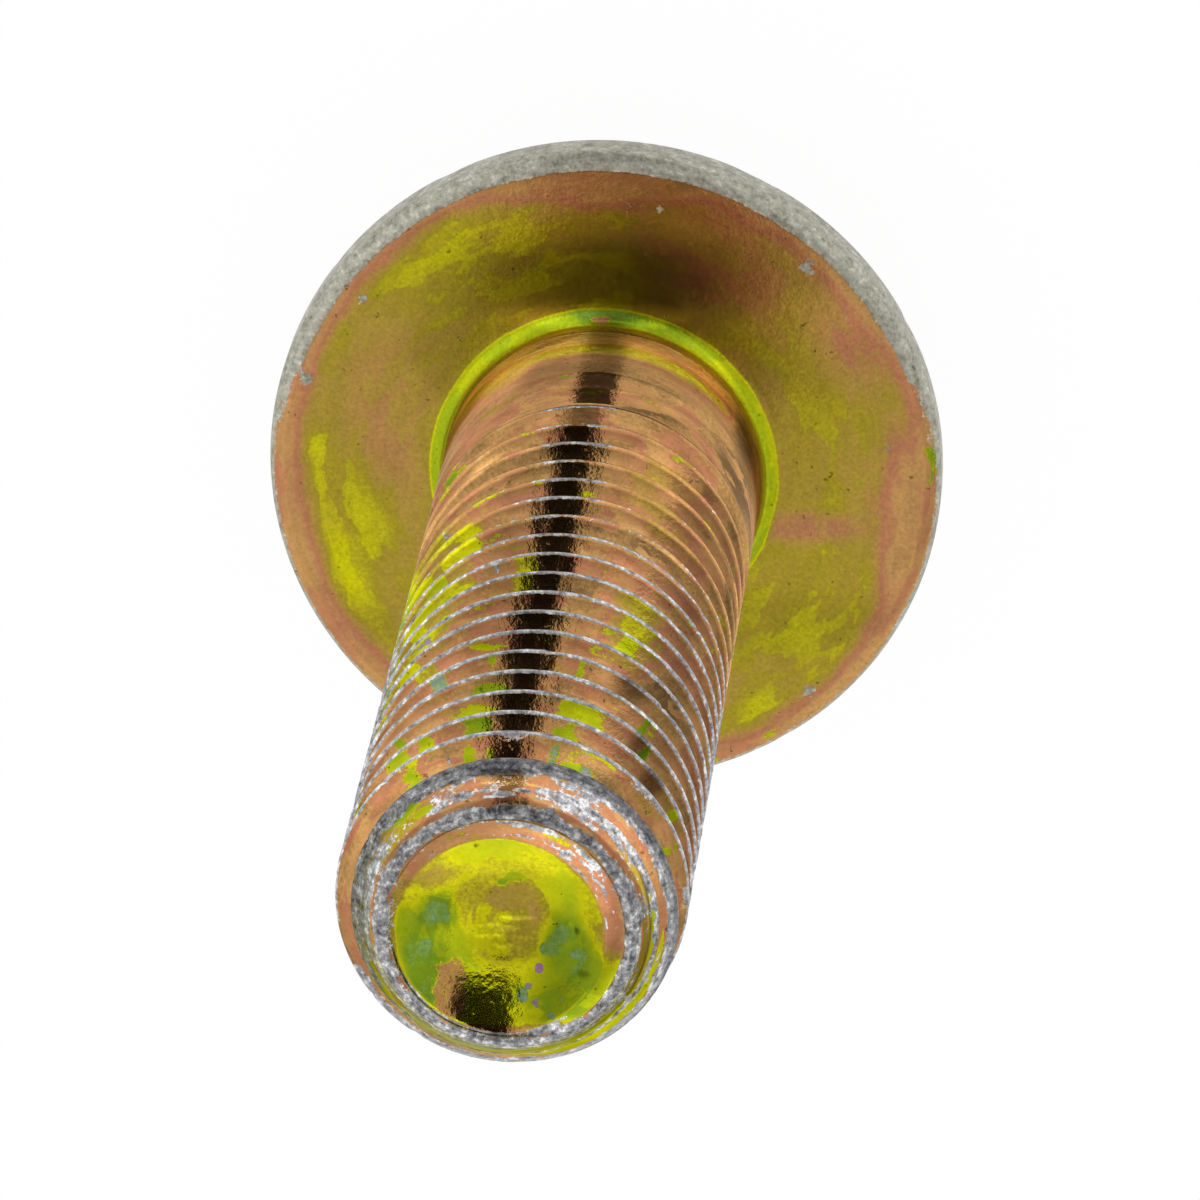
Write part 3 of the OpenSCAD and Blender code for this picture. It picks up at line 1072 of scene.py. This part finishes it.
@dataclass
class Screw:
    """The whole screw, as the one piece that it is."""

    hexagon: Hexagon = field(default_factory=Hexagon)
    flange: Flange = field(default_factory=Flange)
    shank: Shank = field(default_factory=Shank)
    thread: Thread = field(default_factory=Thread)
    point: Point = field(default_factory=Point)
    grain: Grain = field(default_factory=lambda: Grain(11))

    def build(self, materials: list[bpy.types.Material]) -> bpy.types.Object:
        """Builds the screw's mesh.

        Args:
            materials: One material for each zone.

        Returns:
            The Blender object.
        """
        skin = Skin()
        head = self.hexagon.rows(self.flange, self.grain)
        rim = self.flange.rim_rows(head.radius[-1], self.grain)
        bearing = self.flange.bearing_rows(self.shank.diameter / 2, self.grain)
        strip, bevel = self.thread.rows(self.point, self.grain)
        numbers = skin.add_points(head.places(), head.fields())
        skin.close(numbers[0][::-1], head.places()[0][::-1], head.fields()[:, 0, ::-1], Zone.HEAD, False)
        skin.sheet(numbers, Zone.HEAD)
        for rows in (rim, bearing, self.shank.rows(), strip, bevel, *self.point.rows(self.grain)):
            last = numbers[-1]
            numbers = skin.add_points(rows.places(), rows.fields())
            skin.bridge(last, numbers[0], rows.zone)
            if rows is strip:
                skin.spiral(numbers, rows.height, self.thread)
            else:
                skin.sheet(numbers, rows.zone)
        skin.close(numbers[-1], rows.places()[-1], rows.fields()[:, -1], Zone.DISH, True)
        made = skin.mesh("flange_screw_skin", materials)
        triangles = sum(len(face) - 2 for face in skin.faces)
        log.info("screw: %d points, %d triangles", len(made.data.vertices), triangles)
        return made


class Sock:
    """A shader socket that adds a Math node for each operator used on it."""

    def __init__(self, bench: "Bench", socket: bpy.types.NodeSocket) -> None:
        """Wraps an output socket of a bench's node tree."""
        self.bench = bench
        self.socket = socket

    def _maths(self, operation: str, first: Number, second: Number) -> "Sock":
        """Adds one Math node."""
        return self.bench.node("ShaderNodeMath", {"operation": operation}, {0: first, 1: second})

    def __add__(self, other: Number) -> "Sock":
        """Adds."""
        return self._maths("ADD", self, other)

    def __radd__(self, other: Number) -> "Sock":
        """Adds to a number."""
        return self._maths("ADD", other, self)

    def __sub__(self, other: Number) -> "Sock":
        """Subtracts."""
        return self._maths("SUBTRACT", self, other)

    def __rsub__(self, other: Number) -> "Sock":
        """Subtracts from a number."""
        return self._maths("SUBTRACT", other, self)

    def __mul__(self, other: Number) -> "Sock":
        """Multiplies."""
        return self._maths("MULTIPLY", self, other)

    def __rmul__(self, other: Number) -> "Sock":
        """Multiplies a number."""
        return self._maths("MULTIPLY", other, self)

    def over(self, low: float, high: float) -> "Sock":
        """Gives 0 below low, 1 above high and a smooth step between them."""
        limits = {"Value": self, "From Min": low, "From Max": high}
        return self.bench.node("ShaderNodeMapRange", {"interpolation_type": "SMOOTHSTEP"}, limits)


class Bench:
    """Builds one node tree."""

    def __init__(self, tree: bpy.types.NodeTree) -> None:
        """Takes a node tree and empties it."""
        self.tree = tree
        tree.nodes.clear()

    def node(
        self, kind: str, settings: dict | None = None, sockets: dict | None = None, out: int | str = 0
    ) -> Sock:
        """Adds a node.

        Args:
            kind: Blender's name for the type of node.
            settings: Values set on the node, with a ramp's stops under stops.
            sockets: Values or links for its inputs, by name or number.
            out: The output that is given back.

        Returns:
            The wrapped output.
        """
        made = self.tree.nodes.new(kind)
        for name, value in (settings or {}).items():
            if name == "stops":
                self._set_stops(made.color_ramp, value)
            else:
                setattr(made, name, value)
        for name, value in (sockets or {}).items():
            if isinstance(value, Sock):
                self.tree.links.new(value.socket, made.inputs[name])
            elif isinstance(value, tuple) and len(value) == 3 and made.inputs[name].type == "RGBA":
                made.inputs[name].default_value = (*value, 1.0)
            else:
                made.inputs[name].default_value = value
        return Sock(self, made.outputs[out]) if len(made.outputs) else Sock(self, None)

    @staticmethod
    def _set_stops(ramp: bpy.types.ColorRamp, stops: tuple[tuple[float, Colour], ...]) -> None:
        """Sets a ramp's stops.

        Args:
            ramp: The colour ramp.
            stops: The place and colour of each stop.
        """
        while len(ramp.elements) < len(stops):
            ramp.elements.new(1.0)
        for element, (place, colour) in zip(ramp.elements, stops):
            element.position = place
            element.color = (*colour, 1.0)

    def blend(self, share: Number, first: "Sock | Colour", second: "Sock | Colour") -> Sock:
        """Mixes two colours."""
        return self.node("ShaderNodeMix", {"data_type": "RGBA"}, {0: share, 6: first, 7: second}, out=2)

    def shade(self, colour: "Sock | Colour", share: Number) -> Sock:
        """Darkens or lightens a colour by a factor."""
        return self.node("ShaderNodeVectorMath", {"operation": "SCALE"}, {0: colour, "Scale": share})

    def field(self, name: str) -> Sock:
        """Reads one of the mesh's values."""
        return self.node("ShaderNodeAttribute", {"attribute_name": name}, out="Fac")

    def turned(self, place: Sock, along: float, across: float) -> Sock:
        """Scales coordinates so that what is read from them runs round the screw's axis.

        Args:
            place: The coordinates.
            along: Scale round the axis, of which a low one stretches.
            across: Scale along the axis and away from it.

        Returns:
            The scaled coordinates.
        """
        flat = self.node("ShaderNodeVectorMath", {"operation": "MULTIPLY"}, {0: place, 1: (1.0, 1.0, 0.0)})
        radius = self.node("ShaderNodeVectorMath", {"operation": "LENGTH"}, {0: flat}, out="Value")
        height = self.node("ShaderNodeSeparateXYZ", sockets={0: place}, out="Z")
        upright = self.node("ShaderNodeCombineXYZ", sockets={"Z": across * (radius - height)})
        parts = {0: flat, 1: (along, along, 0.0), 2: upright}
        return self.node("ShaderNodeVectorMath", {"operation": "MULTIPLY_ADD"}, parts)

    def noise(self, place: Sock, size: float, detail: float = 2.0, roughness: float = 0.5) -> Sock:
        """Adds noise from 0 to 1, whose coarsest features have a size in millimetres."""
        sockets = {"Vector": place, "Scale": 1 / (size * MM), "Detail": detail, "Roughness": roughness}
        return self.node("ShaderNodeTexNoise", sockets=sockets)


def new_material(name: str) -> tuple[bpy.types.Material, Bench]:
    """Makes an empty material.

    Args:
        name: The material's name.

    Returns:
        The material, and the bench that builds its nodes.
    """
    made = bpy.data.materials.new(name)
    made.use_nodes = True
    return made, Bench(made.node_tree)


# Bare zinc of the head and the bearing face, dark to light grey: partly its own mottling, partly painted
# reflection.
RIM_ZINC = (
    (0.30, (0.18, 0.17, 0.13)),
    (0.45, (0.36, 0.35, 0.28)),
    (0.57, (0.49, 0.48, 0.40)),
    (0.72, (0.80, 0.79, 0.70)),
)


@dataclass(frozen=True)
class Passivation:
    """A finish of yellow-passivated zinc, whose colour follows the thickness of its film."""

    name: str
    drift: float = 0.12
    drift_size: float = 2.6
    patch_level: float = 0.62
    patch_size: float = 1.1
    patch_film: float = 0.5
    roughness: float = 0.1
    pebble: float = 4.0
    pebble_size: float = 0.09
    specks: float = 0.5
    grooves: float = 0.0
    ripple: float = 14.0
    zinc_size: float = 0.34
    mottle: float = 0.3
    grit: float = 0.12
    zinc_contrast: float = 1.0
    # Scales the finish's colour; on the bearing face it darkens it, as painted shade.
    tone: float = 1.0
    fine_size: float = 0.12
    ripple_size: float = 0.28
    dent_size: float = 0.5
    dents: float = 10.0
    pit_size: float = 0.3
    pit_depth: float = 6.0
    groove_scale: float = 2300.0
    edge: Colour = (1.0, 1.0, 1.0)
    stops: tuple[tuple[float, Colour], ...] = (
        (0.00, (0.22, 0.125, 0.05)),
        (0.13, (0.54, 0.295, 0.10)),
        (0.25, (0.47, 0.19, 0.095)),
        (0.37, (0.42, 0.26, 0.055)),
        (0.48, (0.37, 0.29, 0.022)),
        (0.58, (0.58, 0.55, 0.006)),
        (0.69, (0.36, 0.42, 0.008)),
        (0.80, (0.19, 0.30, 0.013)),
        (0.90, (0.20, 0.33, 0.15)),
        (1.00, (0.35, 0.17, 0.35)),
    )
    # Bare zinc runs from near black to near white: partly its own mottling, partly painted reflections and
    # painted glints of the crushed facets.
    zinc: tuple[tuple[float, Colour], ...] = (
        (0.28, (0.10, 0.10, 0.105)),
        (0.45, (0.29, 0.29, 0.30)),
        (0.57, (0.45, 0.45, 0.46)),
        (0.72, (0.90, 0.89, 0.87)),
    )

    def _colour(self, bench: "Bench", place: Sock, fine: Sock, wide: Sock) -> Sock:
        """Builds the film's colour, with its stains.

        Args:
            bench: The material's builder.
            place: Coordinates that run round the axis.
            fine: The finest noise.
            wide: The widest noise.

        Returns:
            The colour.
        """
        film, stain, tint = (bench.field(name) for name in ("film", "stain", "tint"))
        mid = bench.noise(place, self.patch_size, 5.0, 0.62)
        which = bench.noise(place, 2.2 * self.patch_size, 1.0)
        areas = bench.noise(place, 1.3 * self.patch_size, 3.0, 0.55).over(0.49, 0.53)
        patch = (mid + 0.12 * fine).over(self.patch_level + 0.05, self.patch_level + 0.1)
        level = film + self.drift * (2 * (wide - 0.5) + 0.5 * (areas - 0.5)) + self.grit * (fine - 0.5)
        level = level + patch * (self.patch_film + 0.5 * (which - 0.5))
        ragged = (stain + 1.5 * (bench.noise(place, 0.45, 5.0, 0.68) - 0.5)).over(0.41, 0.57)
        level = level + ragged * (tint + 0.3 * (mid - 0.5) + 0.2 * (fine - 0.5) - level)
        colour = bench.node("ShaderNodeValToRGB", {"stops": self.stops}, {"Fac": level}, out="Color")
        mottles = bench.noise(place, 0.8 * self.patch_size, 4.0, 0.6)
        return bench.shade(colour, (1 + self.mottle * 2 * (mottles - 0.5)) * (0.62 + 0.76 * fine))

    def material(self) -> bpy.types.Material:
        """Builds the material.

        Returns:
            A material that reads the rows' fields, which are the mesh's attributes.
        """
        made, bench = new_material(self.name)
        place = bench.node("ShaderNodeTexCoord", out="Object")
        worn, crumple = bench.field("worn"), bench.field("crumple")
        fine = bench.noise(place, self.fine_size, 3.0, 0.65)
        rolled = bench.turned(place, 0.6, 1.2)
        wide = bench.noise(rolled, self.drift_size, 3.0, 0.55)
        ripples = bench.noise(place, self.ripple_size, 4.0, 0.6)
        streaks = bench.noise(bench.turned(place, 0.5, 1.2), self.zinc_size, 5.0, 0.68)
        colour = self._colour(bench, rolled, fine, wide)
        bare = (worn + 0.6 * (fine - 0.5) + 0.6 * (streaks - 0.5)).over(0.44, 0.53)
        # shine picks the bare zinc's colour: painted reflection and glints, with the metal's own mottling.
        shine = 0.5 + self.zinc_contrast * (0.6 * streaks + 0.6 * fine + 0.7 * ripples - 0.95)
        zinc = bench.node("ShaderNodeValToRGB", {"stops": self.zinc}, {"Fac": shine}, out="Color")
        # The per-point factor and the finish's own factor scale the colour: mostly painted light and shade.
        colour = bench.shade(bench.blend(bare, colour, zinc), self.tone * bench.field("tone"))
        pits = bench.noise(place, self.pit_size, 2.0, 0.7).over(0.7, 0.74)
        colour = bench.shade(colour, 1 - self.specks * pits)
        pebbles = bench.noise(place, self.pebble_size, 2.0, 0.6)
        dents = bench.noise(place, self.dent_size, 3.0, 0.6)
        relief = self.pebble * pebbles * (1 + 2.5 * bare) + self.dents * dents - self.pit_depth * pits
        relief = relief + self.ripple * crumple * ripples
        if self.grooves:
            waves = {"wave_type": "BANDS", "bands_direction": "Z", "wave_profile": "SAW"}
            sockets = {"Vector": place, "Scale": self.groove_scale, "Distortion": 0.6}
            sockets |= {"Detail": 1.0, "Detail Scale": 0.6}
            turned = bench.node("ShaderNodeTexWave", waves, sockets, out=1)
            relief = relief - self.grooves * bench.field("groove") * turned
        sockets = {"Strength": 1.0, "Distance": MM * MM, "Height": relief}
        normal = bench.node("ShaderNodeBump", sockets=sockets, out="Normal")
        gloss = self.roughness + 0.08 * (wide - 0.5) + 0.22 * bare
        sockets = {"Base Color": colour, "Metallic": 1.0, "Roughness": gloss, "Normal": normal}
        shader = bench.node("ShaderNodeBsdfPrincipled", sockets=sockets | {"Specular Tint": self.edge})
        bench.node("ShaderNodeOutputMaterial", sockets={"Surface": shader})
        return made


@dataclass(frozen=True)
class Card:
    """A dark card that only reflections show, by its angles as seen from a point on the screw's axis.

    Rise is counted from the camera, or from level for an upright card, and swing goes to the right.
    """

    name: str
    swing: float
    half_swing: float
    low: float
    high: float
    grey: float
    upright: bool = False
    turn: float = 0.0
    height: float = 44.0
    away: float = 0.6
    steps: int = 16


@dataclass
class Studio:
    """A pale floor, soft light and the photograph's camera.

    The axis is the screw's direction and the tip its point at tip_height, both in the camera's frame.
    """

    floor_half: float = 3.0
    focal_px: float = 9401.0
    frame_px: float = 1200.0
    sensor: float = 36.0
    axis: tuple[float, float, float] = (-0.07868908, 0.37162924, -0.9250404)
    tip: tuple[float, float, float] = (-2.617, 9.004, 260.447)
    tip_height: float = 44.036
    lamp_power: float = 0.35
    lamp_size: tuple[float, float] = (0.5, 0.7)
    lamp_place: tuple[float, float, float] = (0.5, -0.25, 0.55)
    clip: tuple[float, float] = (0.01, 20.0)
    cards: tuple[Card, ...] = (
        Card("dark_gap", -4.2, 9.3, -29.0, 42.0, 0.015),
        Card("mid_gap", -4.2, 8.5, 42.0, 70.0, 0.3),
        Card("low_gap", 0.0, 9.5, -22.0, 4.0, 0.07, upright=True, turn=12.0, height=13.5, away=0.03),
        Card("dim_side", 0.0, 5.5, 24.0, 56.0, 0.3, upright=True, turn=-71.0),
        Card("soft_side", 0.0, 30.0, 5.0, 75.0, 0.72, upright=True, turn=-92.0, away=0.65),
    )

    def _camera_turn(self) -> Matrix:
        """Works out the camera's turn from the screw's axis.

        Returns:
            The turn from the screw's frame to the camera's, with x right, y down and z away.
        """
        axis = Vector(self.axis).normalized()
        up = Vector((0, -1, 0))
        front = (up - axis * axis.dot(up)).normalized()
        left = axis.cross(front)
        return Matrix((left, -front, axis)).transposed()

    def camera(self) -> bpy.types.Object:
        """Places the camera where the photograph was taken from.

        Returns:
            The camera, which is set as the scene's own.
        """
        turn = self._camera_turn()
        offset = Vector(self.tip) - Vector(self.axis).normalized() * self.tip_height
        place = -(turn.transposed() @ offset) * MM
        flip = Matrix(((1, 0, 0), (0, -1, 0), (0, 0, -1)))
        data = bpy.data.cameras.new("camera")
        data.sensor_width = self.sensor
        data.lens = self.focal_px / self.frame_px * self.sensor
        data.clip_start, data.clip_end = self.clip
        made = add_object("camera", data)
        made.matrix_world = Matrix.Translation(place) @ (turn.transposed() @ flip).to_4x4()
        bpy.context.scene.camera = made
        return made

    def floor(self) -> None:
        """Lays the pale floor under the screw."""
        half = self.floor_half
        mesh = bpy.data.meshes.new("floor")
        corners = [(-half, -half, 0), (half, -half, 0), (half, half, 0), (-half, half, 0)]
        mesh.from_pydata(corners, [], [(0, 1, 2, 3)])
        made = add_object("floor", mesh)
        material, bench = new_material("floor")
        matt = bench.node("ShaderNodeBsdfDiffuse", sockets={"Color": (0.97, 0.97, 0.97)})
        white = bench.node("ShaderNodeEmission", sockets={"Color": (1.0, 1.0, 1.0), "Strength": 1.0})
        rays = [
            bench.node("ShaderNodeLightPath", out=name)
            for name in ("Is Camera Ray", "Is Glossy Ray", "Is Transmission Ray")
        ]
        share = 0.96 * (rays[0] + rays[1] + rays[2])
        mixed = bench.node("ShaderNodeMixShader", sockets={0: share, 1: matt, 2: white})
        bench.node("ShaderNodeOutputMaterial", sockets={"Surface": mixed})
        mesh.materials.append(material)

    def world(self) -> None:
        """Lights everything evenly from all round, as in a light tent."""
        world = bpy.data.worlds.new("tent")
        world.use_nodes = True
        bpy.context.scene.world = world
        bench = Bench(world.node_tree)
        light = bench.node("ShaderNodeBackground", sockets={"Color": (1.0, 1.0, 1.0), "Strength": 1.0})
        bench.node("ShaderNodeOutputWorld", sockets={"Surface": light})

    def lamps(self) -> None:
        """Hangs two soft lamps, left and right of the screw."""
        for side in (-1, 1):
            data = bpy.data.lights.new(f"softbox_{side}", "AREA")
            data.shape = "RECTANGLE"
            data.size, data.size_y = self.lamp_size
            data.energy = self.lamp_power
            made = add_object(data.name, data)
            place = Vector((side * self.lamp_place[0], *self.lamp_place[1:]))
            made.matrix_world = Matrix.Translation(place) @ place.to_track_quat("Z", "Y").to_matrix().to_4x4()

    def card(self, card: Card, camera: bpy.types.Object) -> None:
        """Bends a dark card round the screw's end, where only gloss shows it.

        Args:
            card: Its place, size and grey.
            camera: The camera, from whose side its turn is counted.
        """
        centre = Vector((0, 0, card.height * MM))
        ahead = (camera.matrix_world.translation - centre).normalized()
        right = Vector((0, 0, 1)).cross(ahead).normalized()
        if card.upright:
            ahead = Matrix.Rotation(math.radians(card.turn), 3, "Z") @ right.cross(Vector((0, 0, 1)))
            right = Vector((0, 0, 1)).cross(ahead)
        else:
            right = (camera.matrix_world.to_3x3() @ Vector((1, 0, 0))).normalized()
        up = ahead.cross(right)
        points = []
        for step in range(card.steps + 1):
            rise = math.radians(card.low + (card.high - card.low) * step / card.steps)
            middle = ahead * math.cos(rise) + up * math.sin(rise)
            for side in (-1, 1):
                swing = math.radians(card.swing + side * card.half_swing)
                points.append(centre + card.away * (middle * math.cos(swing) + right * math.sin(swing)))
        faces = [(2 * k, 2 * k + 1, 2 * k + 3, 2 * k + 2) for k in range(card.steps)]
        mesh = bpy.data.meshes.new(card.name)
        mesh.from_pydata(points, [], faces)
        material, bench = new_material(card.name)
        matt = bench.node("ShaderNodeBsdfDiffuse", sockets={"Color": (card.grey,) * 3})
        bench.node("ShaderNodeOutputMaterial", sockets={"Surface": matt})
        mesh.materials.append(material)
        made = add_object(card.name, mesh)
        made.visible_camera = made.visible_diffuse = made.visible_shadow = False

    def build(self) -> None:
        """Sets up the camera, the floor and the light."""
        bpy.context.scene.view_settings.view_transform = "Standard"
        camera = self.camera()
        self.floor()
        self.world()
        self.lamps()
        for card in self.cards:
            self.card(card, camera)


def main() -> None:
    """Builds the studio and the screw."""
    logging.basicConfig(level=logging.INFO, format="%(message)s")
    Studio().build()
    finishes = [
        Passivation("head_zinc", roughness=0.22, zinc=RIM_ZINC, zinc_contrast=0.7),
        Passivation(
            "bearing_zinc", roughness=0.26, patch_level=0.8, drift=0.1, pebble=3.0, mottle=0.2, grit=0.03,
            zinc=RIM_ZINC, tone=0.92,
        ),
        Passivation("neck_zinc", roughness=0.22, drift=0.1, patch_level=0.9, grooves=61.0, mottle=0.5),
        Passivation("thread_zinc", drift=0.3, patch_film=0.4, mottle=0.6, grooves=61.0, zinc_size=0.2),
        Passivation(
            "point_zinc", drift=0.2, patch_level=0.66, patch_film=0.4, mottle=0.5,
            zinc_size=0.26, zinc_contrast=1.25, edge=(0.8, 0.78, 0.4),
        ),
        Passivation(
            "dish_zinc", drift=0.15, patch_level=0.8, patch_size=0.8, mottle=0.4,
            pebble=2.2, pebble_size=0.14,
        ),
    ]
    screw = Screw().build([finish.material() for finish in finishes])
    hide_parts(NODE)
    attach(screw, "root")


if __name__ == "__main__":
    main()
